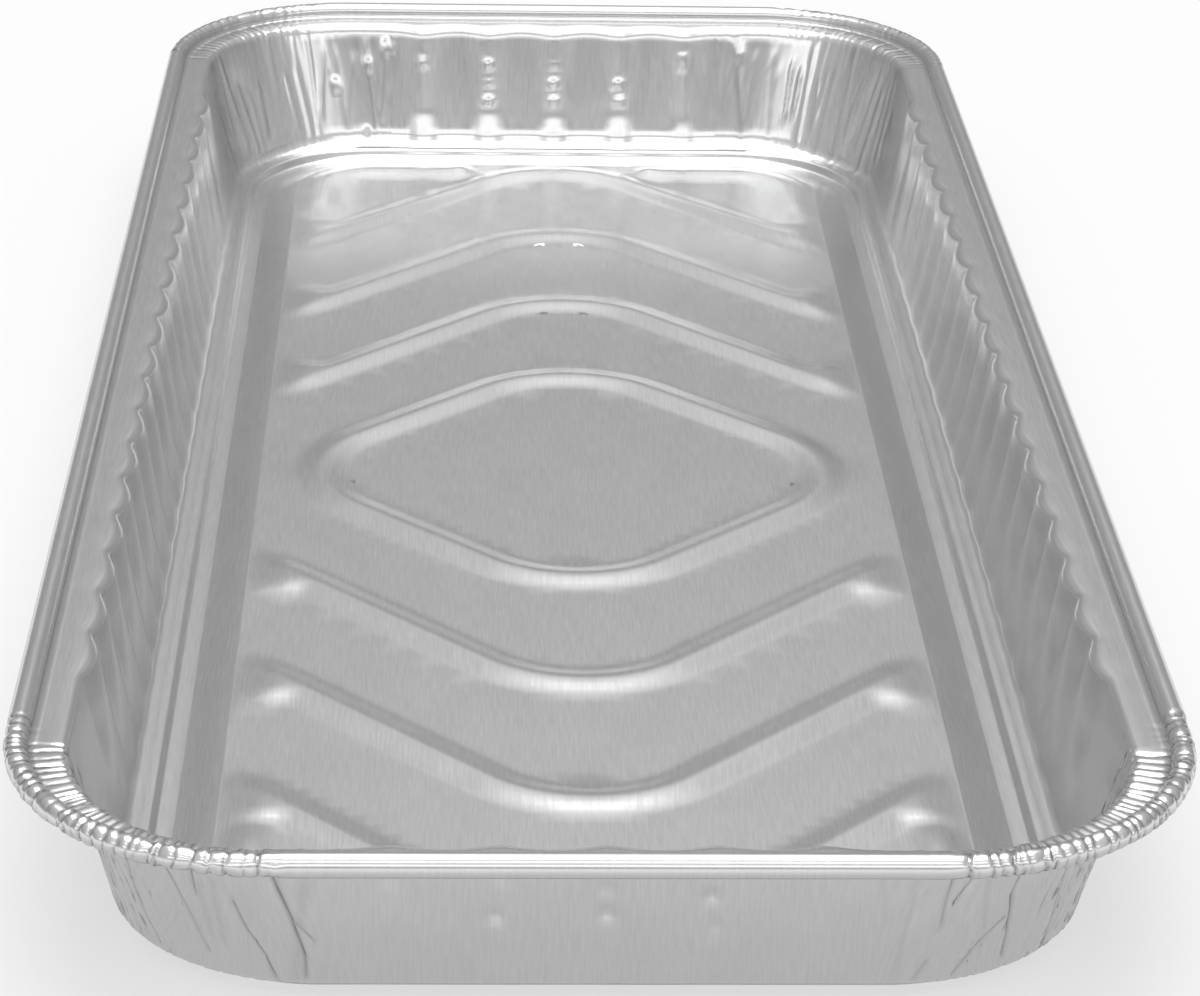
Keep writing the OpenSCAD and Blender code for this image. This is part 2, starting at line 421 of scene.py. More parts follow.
sheet = flat_grid(columns, len(section) - 1)
ALONG, DOWN = 0, 1
for side in quarters:
    ridged = (side["start"] + side["margin"], side["corner"] - side["margin"])
    corner = (side["corner"], side["end"])
    cut_cells(sheet, ALONG, along_cuts, ridged, (wall_top_row - 1, ledge_row))
    cut_cells(sheet, ALONG, along_cuts, corner, (0, ledge_row))
    if side["turn"] in near_corners:
        cut_cells(sheet, ALONG, crimp_cuts, corner, (2, wall_top_row + 1))
    if side["turn"] % 2 == 0:
        for beside in ((side["start"], side["start"] + 1), (side["corner"] - 1, side["corner"])):
            cut_cells(sheet, ALONG, beside_cuts, beside, (0, wall_top_row))
    if side["turn"] % 2:
        for margin in ((side["start"], ridged[0]), (ridged[1], side["corner"])):
            cut_cells(sheet, ALONG, along_cuts, margin, (0, ledge_row))
        cut_cells(sheet, DOWN, rib_down_cuts, ridged, (wall_row, foot_row))
        if side["turn"] == far_turn:
            cut_cells(sheet, DOWN, foot_down_cuts, ridged, (foot_row, ledge_row))
for side in quarters:
    near = side["corner"] - (side["margin"] if side["turn"] % 2 else 0)
    far = side["end"] + (0 if side["turn"] % 2 else end_side["margin"])
    cut_cells(sheet, DOWN, wall_down_cuts, (near, far), (wall_row, foot_row))
print("sheet", len(sheet.verts), "vertices", len(sheet.faces), "faces")

# %% [markdown]
# The press takes a column and a row and gives a place in the pan. On a straight stretch the
# wall runs between two corners, and at a corner it turns a quarter round. The corner's radius
# shrinks from the rim to the wall and then grows to the foot, as it does on the real die.

# %% The way round the pan
rim_corner_r = 34 * mm
foot_corner_r = 28 * mm
straight_wall_inset = 8.34 * mm
straight_foot_inset = 11.94 * mm


def corner_radius(inset):
    """The radius of the pan's corner at an inset."""
    wall_r = rim_corner_r - straight_wall_inset
    share = (inset - straight_wall_inset) / (straight_foot_inset - straight_wall_inset)
    drawn_r = wall_r + (foot_corner_r - wall_r) * share
    floor_r = foot_corner_r - (inset - straight_foot_inset)
    below = np.where(inset <= straight_foot_inset, drawn_r, floor_r)
    return np.where(inset <= straight_wall_inset, rim_corner_r - inset, below)


def way_round(side, column, inset):
    """Place and outward direction in a quarter's frame, where x points out of the straight wall."""
    radius = corner_radius(inset)
    out, along = side["out"] - inset, side["along"] - inset
    end = along - radius
    angle = np.clip((column - side["corner"]) / corner_columns, 0, 1) * math.pi / 2
    ridged_start = side["start"] + side["margin"]
    ridged_end = side["corner"] - side["margin"]
    on_straight = np.where(
        column < ridged_start,
        -end + (end - side["half"]) * (column - side["start"]) / side["margin"],
        np.where(
            column > ridged_end,
            side["half"] + (end - side["half"]) * (column - ridged_end) / side["margin"],
            side["half"] * (2 * (column - ridged_start) / side["ridged"] - 1),
        ),
    )
    in_corner = column > side["corner"]
    x = np.where(in_corner, out - radius + radius * np.cos(angle), out)
    y = np.where(in_corner, end + radius * np.sin(angle), on_straight)
    return x, y, np.cos(angle), np.sin(angle)


def turned(x, y, turn):
    """A quarter's own frame turned to its place in the pan."""
    return [(x, y), (-y, x), (-x, -y), (y, -x)][turn]


print("corner radius at the panel", round(float(corner_radius(panel_inset)) / mm, 1), "mm")


# %% [markdown]
# The press leaves more than the plain section. Each long wall has nineteen round flutes with
# sharp grooves between them, and each end wall has five ribs with small round dots. They are
# added as a distance that the wall stands in, and they fade out towards the foot. A dot is
# listed as its place across and up, its size and its height, in millimetres.

# %% Ridges, ribs and dots
flute_depth = 1.3 * mm
rib_depth = 1.5 * mm
ridge_at_foot = 0.2
rib_softness = 0.12
dot_lean = 1.2
dot_at_ledge = 0.3
wedge_edge = -0.55
far_feet = [
    (-26.0, 4.2, 3.7, 1.4),
    (-13.0, 4.2, 3.8, 1.45),
    (0.0, 4.0, 3.5, 1.35),
    (13.0, 4.1, 3.7, 1.4),
    (26.0, 3.8, 3.1, 0.95),
]
far_dots = [
    (-26.2, 18.3, 1.4, 0.65),
    (-13.2, 18.0, 1.5, 0.8),
    (-13.0, 14.3, 1.4, 0.45),
    (-13.1, 10.7, 1.6, 0.8),
    (0.0, 18.1, 1.3, 0.4),
    (-0.1, 14.3, 1.5, 0.8),
    (0.0, 10.8, 1.6, 0.75),
    (12.9, 14.3, 1.5, 0.8),
    (13.2, 10.9, 1.6, 0.75),
    (25.8, 19.6, 1.3, 0.65),
    (25.9, 18.0, 1.2, 0.5),
    (-33.5, 20.8, 1.7, 0.9),
    (-37.3, 17.6, 1.5, 0.7),
    (-37.4, 3.9, 1.3, 0.7),
    (-43.6, 13.5, 1.4, 0.6),
    (37.4, 20.3, 1.5, 0.8),
    (37.2, 3.8, 1.3, 0.7),
]
near_dots = [
    (-26.3, 19.0, 1.3, 0.3),
    (-12.9, 19.1, 1.2, 0.35),
    (-12.9, 15.8, 1.1, 0.25),
    (-13.5, 13.4, 1.5, 0.8),
    (0.1, 17.6, 1.2, 0.4),
    (0.2, 13.7, 1.5, 0.8),
    (12.8, 16.3, 1.4, 0.75),
    (13.0, 13.8, 1.1, 0.3),
    (13.4, 11.9, 1.3, 0.7),
    (12.8, 10.2, 1.0, 0.35),
    (12.8, 6.6, 1.2, 0.25),
    (-26.0, 9.0, 1.8, 0.2),
    (-13.2, 5.6, 2.0, 0.25),
    (1.4, 5.0, 2.4, 0.3),
]


def ridge_share(row):
    """How much of a ridge's depth shows at a row of the section."""
    knots = [wall_top_row - 1, wall_top_row, wall_row, foot_row, ledge_row]
    return np.interp(row, knots, [0, 0.5, 1, ridge_at_foot, 0])


def dot_places(dots, way, y, z):
    """For each dot, how far points lie beside and above it in sizes of the dot, and its height."""
    for across, up, size, height in dots:
        yield (y - way * across * mm) / (size * mm), (z - up * mm) / (size * mm), height * mm


def stands_in(side, column, row, y, z):
    """How far the straight wall stands in from its plain section."""
    ridged_start = side["start"] + side["margin"]
    phase = (column - ridged_start) / side["ridged"] * side["ridges"]
    ridged = (phase >= 0) & (phase <= side["ridges"])
    if side["turn"] % 2 == 0:
        fluted = ridged & (phase > 0.5) & (phase < side["ridges"] - 0.5)
        flute = flute_depth * np.abs(np.sin(math.pi * (phase + 0.5)))
        return np.where(fluted, flute, 0) * ridge_share(row)
    hollow = np.sqrt(np.cos(math.pi * phase) ** 2 + rib_softness**2) - rib_softness
    depth = np.where(ridged, rib_depth * (1 - hollow), 0) * ridge_share(row)
    depth = np.where(np.abs(y) > side["half"], 0, depth)
    shown = np.interp(row, [foot_row, ledge_row], [1, dot_at_ledge])
    if side["turn"] == near_turn:
        for beside, above, height in dot_places(near_dots, 1, y, z):
            bump = np.maximum(1 - beside**2 - above**2, 0) ** 2
            depth = depth + height * bump * shown
        return depth
    for beside, above, height in dot_places(far_feet, -1, y, z):
        wedge = np.interp(above, [-1, wedge_edge, 1], [0, 1, 0])
        bump = np.maximum(1 - beside**2, 0) ** 2 * wedge
        depth = depth + height * bump * shown
    for beside, above, height in dot_places(far_dots, -1, y, z):
        bump = np.maximum(1 - beside**2 - above**2, 0) ** 2 * (1 - dot_lean * above)
        depth = depth + height * bump * shown
    return depth


print("dots", len(near_dots), "on the near end and", len(far_feet + far_dots), "on the far end")

# %% [markdown]
# At a corner the sheet is gathered. The rim takes the extra foil up in many small crimps, sharp
# valleys with round pillows between them, and the wall below takes it up in long drawn creases.
# Both are measured along the corner, from the end of the long side's straight stretch.

# %% Crimps of the rim's corners
corner_way = (rim_corner_r - curl_r) * math.pi / 2
curl_crimps = {
    "start": -4.5,
    "even": 0,
    "pitch": (0.7, 2.3),
    "depth": (0.12, 0.42),
    "wander": 0.6,
    "round": 0.35,
    "tilt": 0.16,
}
flange_crimps = {
    "start": 1.2,
    "even": 15,
    "pitch": (0.9, 1.9),
    "depth": (0.25, 0.6),
    "wander": 0.6,
    "round": 0.85,
    "tilt": 0.08,
}
even_pitch = (1.7, 2.2)
cut_share, cut_depth = 0.14, 1.7
valley_reach = 0.42
far_softness = 0.5
far_folds = 0.28
crimped_until = {(-1, -1): 51.2, (1, -1): 51.4, (-1, 1): 47, (1, 1): 47}
shares_by_row = {
    0: 0.5,
    3: 1,
    8: 1,
    valley_row - 1: 0.7,
    valley_row + 1: 0.8,
    wall_top_row: 1,
    wall_row - 1: 0.8,
    wall_row: 0.45,
    wall_row + 1.5: 0,
}
crimp_rows, crimp_share = list(shares_by_row), list(shares_by_row.values())
wander_along, wander_across = 2.2 * mm, 1.6 * mm
bend_across, bend_step = 0.9 * mm, 3.7
# Painted shade: a crimp valley this deep gets the full painted dark line.
black_depth = 0.4 * mm


def crimps(seed, kind, until):
    """Where the valleys of a corner's crimps lie, their depths, and the tilts between them."""
    rng = random.Random(seed)
    at, depth = [kind["start"]], [0]
    while at[-1] < until:
        pitch = even_pitch if at[-1] < kind["even"] else kind["pitch"]
        at.append(at[-1] + rng.uniform(*pitch))
        depth.append(rng.uniform(*kind["depth"]) * (cut_depth if rng.random() < cut_share else 1))
    depth[-1] = 0
    tilt = [rng.uniform(-1, 1) * kind["tilt"] for _ in at]
    return np.array(at) * mm, np.array(depth) * mm, np.array(tilt)


def crimp_depths(seed, kind, until, way, across):
    """Depth of the crimps at places along and across the rim, and the painted shade of their valleys.
    """
    at, depth, tilt = crimps(seed, kind, until)
    places = zip(way / wander_along, across / wander_across)
    wander = np.array([noise.noise((along, over, seed)) for along, over in places])
    way = way + kind["wander"] * mm * wander
    k = np.clip(np.searchsorted(at, way) - 1, 0, len(at) - 2)
    inside = (way > at[0]) & (way < at[-1])
    gap = at[k + 1] - at[k]
    share = np.clip((way - at[k]) / gap, 0, 1)
    valley = depth[k] * (1 - share) + depth[k + 1] * share
    away = np.minimum(share, 1 - share) * gap
    sharp = np.maximum(1 - away / (valley_reach * mm), 0) ** 1.5
    bulge = 1 - np.sqrt(4 * share * (1 - share))
    places = zip(k * bend_step, across / bend_across)
    bent = np.array([noise.noise((step, over, seed + 5)) for step, over in places])
    slope = tilt[k] * (1 + 2 * bent)
    facet = np.where(inside, gap * (slope * (share - 0.5) + np.abs(slope) / 2), 0)
    deep = valley * (kind["round"] * bulge + (1 - kind["round"]) * sharp) + facet
    # Painted shade along the crimp valleys, darker where a valley is deeper and sharper.
    line = np.clip(valley / black_depth, 0, 1) * sharp**2
    return deep, np.where(inside, line, 0)


print("corner", round(corner_way / mm, 1), "mm along the rim")

# %% [markdown]
# The press flattens the spare foil of a corner wall into long creases. A noise would make them
# all alike, so the longest ones are drawn as paths, each with a half width and a depth,
# and random ones fill the rest. A path's points are distances along the corner and up from the
# table, in millimetres.

# %% Drawn creases of the corner walls
filler_reach, filler_pitch = (-6.0, 58), (2.2, 4.6)
filler_top, filler_foot = (15, 24), (2, 9)
filler_lean = (-0.16, 0.2)
filler_width, filler_depth = (1.0, 1.8), (0.1, 0.26)
far_filler_gain = 1.6
seen_creases = {
    (-1, -1): [
        ([(51, 22.5), (51.6, 19.5), (53.6, 13.5), (55.2, 7.5), (55.3, 4)], 0.75, 0.55),
        ([(45, 15.5), (45.9, 13.2), (47.1, 11), (50.2, 7), (51.8, 3)], 0.7, 0.5),
        ([(33.5, 18.5), (35.1, 14.5), (38.4, 6.5)], 0.9, 0.35),
        ([(24, 21), (23, 14.8), (22.4, 11.2), (23.1, 7.8), (24.8, 4)], 0.9, 0.35),
        ([(54.1, 12.8), (56.3, 9.8)], 0.7, 0.4),
        ([(38.1, 21), (38.3, 15.5)], 0.8, 0.4),
    ],
    (1, -1): [
        ([(49.5, 22), (49.8, 19.2), (50.5, 15.8), (50.8, 12.2)], 0.8, 0.4),
        ([(46, 22), (46.8, 19), (49.1, 15.8)], 0.8, 0.4),
        ([(37.5, 22), (38, 18.2), (38.6, 15.8), (37.8, 12.5), (36.5, 5)], 0.75, 0.6),
        ([(38.7, 12), (42.7, 9), (47.7, 3.5)], 0.8, 0.4),
        ([(27, 18), (25.6, 11.8), (23.4, 5)], 0.9, 0.35),
        ([(52.2, 6.5), (53.7, 3.5)], 0.8, 0.35),
    ],
}


def drawn_creases(corner):
    """All the creases of one corner's wall."""
    rng = random.Random(10 * corner[0] + corner[1])
    creases = list(seen_creases.get(corner, []))
    gain = 1 if corner in seen_creases else far_filler_gain
    way, last = filler_reach
    while way < last:
        way += rng.uniform(*filler_pitch)
        top, foot = rng.uniform(*filler_top), rng.uniform(*filler_foot)
        lean = rng.uniform(*filler_lean) * (top - foot)
        width, depth = rng.uniform(*filler_width), rng.uniform(*filler_depth) * gain
        creases.append(([(way, top), (way + lean, foot)], width, depth))
    return creases


def path_distance(path, at):
    """Distance from points to an open path."""
    nearest = np.full(len(at), 1e3)
    ends = np.array(path, float)
    for a, b in zip(ends, ends[1:]):
        share = np.clip((at - a) @ (b - a) / ((b - a) @ (b - a)), 0, 1)
        nearest = np.minimum(nearest, np.linalg.norm(at - a - share[:, None] * (b - a), axis=1))
    return nearest


def at_corner(place, corner):
    """Which points lie in a corner's quarter of the pan."""
    return (np.sign(place[:, 0]) == corner[0]) & (np.sign(place[:, 1]) == corner[1])


def along_corner(place):
    """Distance along the corner of the rim, from the end of the long side's straight stretch."""
    over = np.abs(place[:, :2]) - (np.array([half_w, half_l]) - rim_corner_r)
    angle = np.arctan2(np.maximum(over[:, 1], 0), np.maximum(over[:, 0], 1e-9))
    round_it = angle / (math.pi / 2) * corner_way
    past_corner = np.where(over[:, 0] <= 0, corner_way - over[:, 0], round_it)
    return np.where(over[:, 1] <= 0, over[:, 1], past_corner)


print("creases", {corner: len(drawn_creases(corner)) for corner in crimped_until})

# %% [markdown]
# Between its creases the wall has many faint folds that run down it. They are too many to draw,
# so a noise makes them, short along the corner and long down the wall. The crimps, the folds
# and the creases then move the sheet off the plain die. The far corners are smoother than the
# near ones. Each point also keeps an amount of painted shade, which darkens the foil's colour
# into a dark line along sharp folds and crimp valleys.

# %% Folds of the gathered corners
fold_along, fold_down, fold_depth = 2.4, 15.0, 0.3
fold_lean = 0.12
folds_fade = [-10, -2, 54, 62]
wall_reach = (-12, 64)


def soft_folds(way, height, seed):
    """Many faint folds that run down the wall, in mm."""
    fold = np.zeros(len(way))
    for finer, share in ((1.0, 1.0), (0.5, 0.45)):
        lean = fold_lean * height + way
        places = zip(lean / (fold_along * finer), height / (fold_down * finer))
        wave = np.array([noise.noise((along, down, seed + finer)) for along, down in places])
        fold += fold_depth * share * finer * np.maximum(1 - 4 * np.abs(wave), 0) ** 1.5
    return fold


def rim_push(corner, seed, softness, way, walked, row):
    """Depth of a corner's crimps, and the painted shade along their valleys."""
    until = crimped_until[corner]
    on_flange = np.clip((row - valley_row + 1) / 2, 0, 1)
    on_curl = crimp_depths(seed, curl_crimps, until, way, walked)
    on_inside = crimp_depths(seed + 20, flange_crimps, until, way, walked)
    deep, line = [a * (1 - on_flange) + b * on_flange for a, b in zip(on_curl, on_inside)]
    share = np.interp(row, crimp_rows, crimp_share)
    return softness * deep * share, softness * line * share


def wall_push(corner, seed, at, row):
    """Height of a corner wall's folds and creases, and the painted shade along the creases."""
    share = far_folds if corner[1] > 0 else 1
    fold = np.interp(at[:, 0], folds_fade, [0, share, share, 0])
    fold = fold * soft_folds(at[:, 0], at[:, 1], seed)
    line = np.zeros(len(at))
    for path, width, depth in drawn_creases(corner):
        near = np.maximum(1 - path_distance(path, at) / width, 0)
        fold = np.maximum(fold, depth * near * (0.4 + 0.6 * near))
        # Painted shade along the drawn creases, strongest on their middle line.
        line = np.maximum(line, np.clip(2 * depth - 0.3, 0, 1) * near**2)
    fade = np.interp(row, [wall_top_row, wall_row, foot_row, ledge_row], [0, 1, 0.8, 0])
    return fold * mm * fade, line * fade


def gathered(place, row):
    """How far each point is moved off the plain die, and how much painted shade its fold gets."""
    push = np.zeros(len(place))
    fold_shade_amount = np.zeros(len(place))
    way = along_corner(place)
    to_row = np.concatenate([[0], np.cumsum(row_steps)])
    walked = np.interp(row, np.arange(len(section)), to_row)
    rim_start, rim_end = curl_crimps["start"] * mm, corner_way + 3 * mm
    on_rim = (row < crimp_rows[-1]) & (way > rim_start) & (way < rim_end)
    on_wall = (row > wall_top_row) & (row < ledge_row + 1)
    on_wall &= (way > wall_reach[0] * mm) & (way < wall_reach[1] * mm)
    for corner in crimped_until:
        here = at_corner(place, corner)
        softness = far_softness if corner[1] > 0 else 1
        seed = 3 + corner[0] + 2 * corner[1]
        rim, wall = here & on_rim, here & on_wall
        deep, line = rim_push(corner, seed, softness, way[rim], walked[rim], row[rim])
        push[rim] -= deep
        fold_shade_amount[rim] = line
        at = np.stack([way[wall], place[wall, 2]], axis=1) / mm
        fold, line = wall_push(corner, seed, at, row[wall])
        push[wall] += fold
        fold_shade_amount[wall] = line
    return push, fold_shade_amount


wave_length, wave_height = 11 * mm, 0.025 * mm


def waviness(place):
    """The slight unevenness of thin foil."""
    return wave_height * np.array([noise.noise(point / wave_length) for point in place])


# %% [markdown]
# The press turns every point's column and row into a place. A lattice could bend a sheet too,
# but it would round the valleys off, so each place is worked out from the section, the way
# round and the ridges. The point's place on the flat blank comes with it, for the finish.

# %% The press
def drawn(column, row):
    """Places of points in the plain die, their outward directions, and places on the flat blank."""
    rows = np.arange(len(section))
    inset = np.interp(row, rows, section_inset)
    height = np.interp(row, rows, section_z)
    slope_in = np.gradient(section_inset)
    slope_z = np.gradient(section_z)
    length = np.hypot(slope_in, slope_z)
    normal_in = np.interp(row, rows, -slope_z / length)
    normal_z = np.interp(row, rows, slope_in / length)
    to_panel = np.concatenate([np.cumsum(row_steps[::-1])[::-1], [0]])
    unrolled = np.interp(row, rows, to_panel)
    place = np.zeros((len(column), 3))
    normal = np.zeros((len(column), 3))
    flat = np.zeros((len(column), 2))
    for side in quarters:
        here = (column >= side["start"]) & ((column < side["end"]) | (side is quarters[-1]))
        c, r = column[here], row[here]
        turned_by = np.clip((c - side["corner"]) / corner_columns, 0, 1)
        to_end = 1 - turned_by if side["turn"] % 2 else turned_by
        to_end = to_end * to_end * (3 - 2 * to_end)
        i = inset[here] + to_end * (np.interp(r, rows, end_inset) - inset[here])
        h = height[here] + to_end * (np.interp(r, rows, end_z) - height[here])
        x, y, out_x, out_y = way_round(side, c, i)
        in_by = stands_in(side, c, r, y, h)
        x, y = x - out_x * in_by, y - out_y * in_by
        edge_x, edge_y, _, _ = way_round(side, c, np.full(len(c), section_inset[-1]))
        place[here, 0], place[here, 1] = turned(x, y, side["turn"])
        place[here, 2] = h
        towards = normal_in[here]
        normal[here, 0], normal[here, 1] = turned(-out_x * towards, -out_y * towards, side["turn"])
        normal[here, 2] = normal_z[here]
        reach = unrolled[here]
        blank_x, blank_y = edge_x + out_x * reach, edge_y + out_y * reach
        flat[here, 0], flat[here, 1] = turned(blank_x, blank_y, side["turn"])
    return place, normal / np.linalg.norm(normal, axis=1)[:, None], flat


print("press", columns, "columns by", len(section), "rows")

# %% [markdown]
# The drawn creases are only a few cells wide, so the cells along them are cut once more. Then
# the sheet is pressed. Each vertex keeps its place on the blank and its amount of painted shade
# for folds in layers of its own, which the material reads as attributes.

# %% The pressed sheet
crease_cuts, crease_margin = 2, 0.45


def cut_near_creases(sheet, cuts, reach):
    """Cuts the cells along the creases that were drawn from the photograph finer."""
    sheet.verts.index_update()
    grid_at = np.array([vert.co[:2] for vert in sheet.verts])
    place, _, _ = drawn(grid_at[:, 0], grid_at[:, 1])
    at = np.stack([along_corner(place), place[:, 2]], axis=1) / mm
    near = np.zeros(len(at), bool)
    for corner, creases in seen_creases.items():
        here = at_corner(place, corner)
        for path, width, _ in creases:
            near |= here & (path_distance(path, at) < width + reach)
    edges = [edge for edge in sheet.edges if all(near[vert.index] for vert in edge.verts)]
    bmesh.ops.subdivide_edges(sheet, edges=edges, cuts=cuts, use_grid_fill=True)
    print("creases", len(edges), "edges cut")


cut_near_creases(sheet, crease_cuts, crease_margin)
grid_at = np.array([vert.co[:2] for vert in sheet.verts])
place, outward, flat = drawn(grid_at[:, 0], grid_at[:, 1])
push, fold_shade_amount = gathered(place, grid_at[:, 1])
place = place + outward * (push + waviness(place))[:, None]
place = np.clip(place, (-half_w, -half_l, foil), (half_w, half_l, pan_h))
# The third layer holds each vertex's amount of painted shade along folds and crimp valleys.
flat_x, flat_y, painted_fold_shade = [
    sheet.verts.layers.float.new(name) for name in ("flat_x", "flat_y", "painted_fold_shade")
]
for vert, at, on_blank, line in zip(sheet.verts, place, flat, fold_shade_amount):
    vert.co = at
    vert[flat_x], vert[flat_y] = on_blank
    vert[painted_fold_shade] = line
bmesh.ops.remove_doubles(sheet, verts=sheet.verts, dist=1e-7)
print("pressed", len(sheet.verts), "vertices")

# %% [markdown]
# The floor panel is stiffened by beads: a diamond in the middle, three chevrons on each side of
# it that point away from it, and a hooked bead in every corner. Each bead follows a route of
# straight lines and round bends, and its height depends mostly on the distance to that route.

# %% Routes of the beads
bead_w = 8.2 * mm
bead_top = 0.9 * mm
bead_h = 0.75 * mm
bead_blend = 0.1
bead_end_r = 2.7 * mm
bead_end_h = 0.3 * mm
flare_r = 5.8 * mm
flare_x = 48.2 * mm
flare_back = 2.2 * mm
arm_fade = (43.6 * mm, 51 * mm)
back_fade = 3 * mm
leg_fade = 14 * mm
bend_r = 20 * mm
pattern_shift = -1.6 * mm
chevron_pitch = 35.2 * mm
diamond_half = Vector((49.5 * mm, 47.5 * mm))
chevron_reach = 56 * mm
corner_bead_start = 18.6 * mm
corner_bead_leg = 32 * mm
bead_margin = 0.5 * mm


def route(points, radius, closed=False):
    """Lines and arcs through some points: each line is two ends, each arc a middle and two ends."""
    points = [Vector(point) for point in points]
    if closed:
        bends = list(zip(points[-1:] + points[:-1], points, points[1:] + points[:1]))
    else:
        bends = list(zip(points, points[1:], points[2:]))
    arcs = []
    for before, at, after in bends:
        back, on = (before - at).normalized(), (after - at).normalized()
        half = back.angle(on) / 2
        reach = radius / math.tan(half)
        middle = at + (back + on).normalized() * radius / math.sin(half)
        arcs.append((at + back * reach, at + on * reach, middle))
    lines = []
    if closed:
        for first, second in zip(arcs[-1:] + arcs[:-1], arcs):
            lines.append((first[1], second[0]))
    else:
        stops = [points[0]] + [p for arc in arcs for p in arc[:2]] + [points[-1]]
        lines = list(zip(stops[0::2], stops[1::2]))
    return lines, arcs


def distance_to(route_parts, at):
    """Distance from points to a route."""
    lines, arcs = route_parts
    nearest = np.full(len(at), 1.0)
    for a, b in lines:
        a, b = np.array(a), np.array(b)
        share = np.clip((at - a) @ (b - a) / max((b - a) @ (b - a), 1e-12), 0, 1)
        nearest = np.minimum(nearest, np.linalg.norm(at - a - share[:, None] * (b - a), axis=1))
    for a, b, middle in arcs:
        a, b, middle = np.array(a), np.array(b), np.array(middle)
        radius = np.linalg.norm(a - middle)
        towards = ((a + b) / 2 - middle) / np.linalg.norm((a + b) / 2 - middle)
        spread = (a - middle) @ towards / radius
        rays = at - middle
        away = np.maximum(np.linalg.norm(rays, axis=1), 1e-9)
        on_arc = rays @ towards / away >= spread
        nearest = np.minimum(nearest, np.where(on_arc, np.abs(away - radius), 1.0))
    return nearest


def diamond_route():
    """The route of the bead round the middle."""
    shift = Vector((0, pattern_shift))
    width, length = diamond_half
    tips = (width, 0), (0, length), (-width, 0), (0, -length)
    return route([shift + Vector(tip) for tip in tips], bend_r, True)


def chevron_route(way, tip):
    """The route of one chevron, with arms that run straight on past the panel's edge."""
    arms = (-chevron_reach, tip - chevron_reach), (0, tip), (chevron_reach, tip - chevron_reach)
    return route([Vector((x, way * y + pattern_shift)) for x, y in arms], bend_r)


def hook_routes():
    """The routes of the four hooked beads, each from its inner end to the end of its leg."""
    inset = panel_inset + bead_margin + bead_w / 2
    x, y = half_w - inset, half_l - inset
    radius = float(corner_radius(np.array(inset)))
    for left in (-1, 1):
        for near in (-1, 1):
            hook = (corner_bead_start, y), (x, y), (x, y - corner_bead_leg)
            yield route([Vector((left * a, near * b)) for a, b in hook], radius)


chevrons = [(way, diamond_half.y + k * chevron_pitch) for way in (-1, 1) for k in (1, 2, 3)]
hooks = list(hook_routes())
routes = [diamond_route()] + [chevron_route(way, tip) for way, tip in chevrons] + hooks
print("beads", len(routes))

# %% [markdown]
# A bead could be swept as a tube and joined to the panel, but on the real pan it is the same
# foil, pushed up a little. So a bead is only a height over the flat panel, with a ramp on both
# sides. A chevron's end flares out to the panel's edge, and a hook's leg fades out on its way.

# %% Heights of the beads
bead_ramp = bead_w / 2 - bead_top / 2


def soft_step(share, blend):
    """A straight ramp from 0 to 1 with its two corners rounded."""
    low = np.where(share < blend, np.maximum(share + blend, 0) ** 2 / (4 * blend), share)
    over = share - (1 - blend)
    high = 1 - np.where(over < 2 * blend, (2 * blend - over) ** 2 / (4 * blend), 0)
    return np.where(share < 0.5, low, np.where(over > 0, high, share))


def inside_edge(at):
    """Distance of points in from the edge of the raised panel."""
    radius = float(corner_radius(np.array(panel_inset)))
    over = np.abs(at) - (np.array([half_w, half_l]) - panel_inset - radius)
    return radius - np.linalg.norm(np.maximum(over, 0), axis=1) - np.minimum(over.max(axis=1), 0)


def fade_out(value, stops):
    """A soft fall from 1 at the first stop to 0 at the second."""
    share = np.clip((value - stops[0]) / (stops[1] - stops[0]), 0, 1)
    return 1 - share * share * (3 - 2 * share)


def bead_share(parts, at):
    """Height of a plain bead, as a share of its full height."""
    return soft_step((bead_w / 2 - distance_to(parts, at)) / bead_ramp, bead_blend)


def chevron_share(way, tip, at):
    """Height of one chevron, as a share of a bead's height, with its ends flared."""
    mirrored = np.stack([np.abs(at[:, 0]), way * (at[:, 1] - pattern_shift)], axis=1)
    share = bead_share(chevron_route(way, tip), at)
    slant = math.sqrt(2)
    foot_at_edge = tip - flare_x + bead_w / 2 * slant
    middle = np.array([flare_x - flare_r, foot_at_edge + flare_r * (1 + slant) - flare_back])
    rays = mirrored - middle
    away = np.maximum(np.linalg.norm(rays, axis=1), 1e-9)
    in_corner = (rays[:, 0] > rays[:, 1]) & (rays[:, 1] < 0)
    beyond_arm = mirrored.sum(axis=1) > tip
    turned_in = np.clip(-2 * rays[:, 1] / away, 0, 1)
    flare = soft_step((away - flare_r) / bead_ramp, bead_blend) * turned_in
    share = np.where(in_corner & beyond_arm, np.maximum(share, flare), share)
    behind_arm = np.clip((tip - mirrored.sum(axis=1)) / (bead_w / 2 * slant), 0, 1)
    return share * fade_out(mirrored[:, 0] + back_fade * behind_arm, arm_fade)


def hook_share(parts, at):
    """Height of one corner bead, as a share of a bead's height, with its leg fading out."""
    share = bead_share(parts, at)
    leg_end = abs(parts[0][-1][1].y)
    return share * fade_out(leg_end + leg_fade - np.abs(at[:, 1]), (0, leg_fade))


def bead_height(at):
    """Height of the beads over the panel."""
    share = bead_share(routes[0], at)
    for way, tip in chevrons:
        share = np.maximum(share, chevron_share(way, tip, at))
    bump = np.zeros(len(at))
    for parts in hooks:
        share = np.maximum(share, hook_share(parts, at))
        away = np.linalg.norm(at - np.array(parts[0][0][0]), axis=1) / bead_end_r
        bump = bump + np.where(away < 1, bead_end_h * (1 - away**2) ** 2, 0)
    at_edge = soft_step((inside_edge(at) - bead_margin) / bead_ramp, bead_blend)
    return bead_h * np.minimum(share, at_edge) + bump


print("ramps", round(bead_ramp / mm, 2), "mm wide")

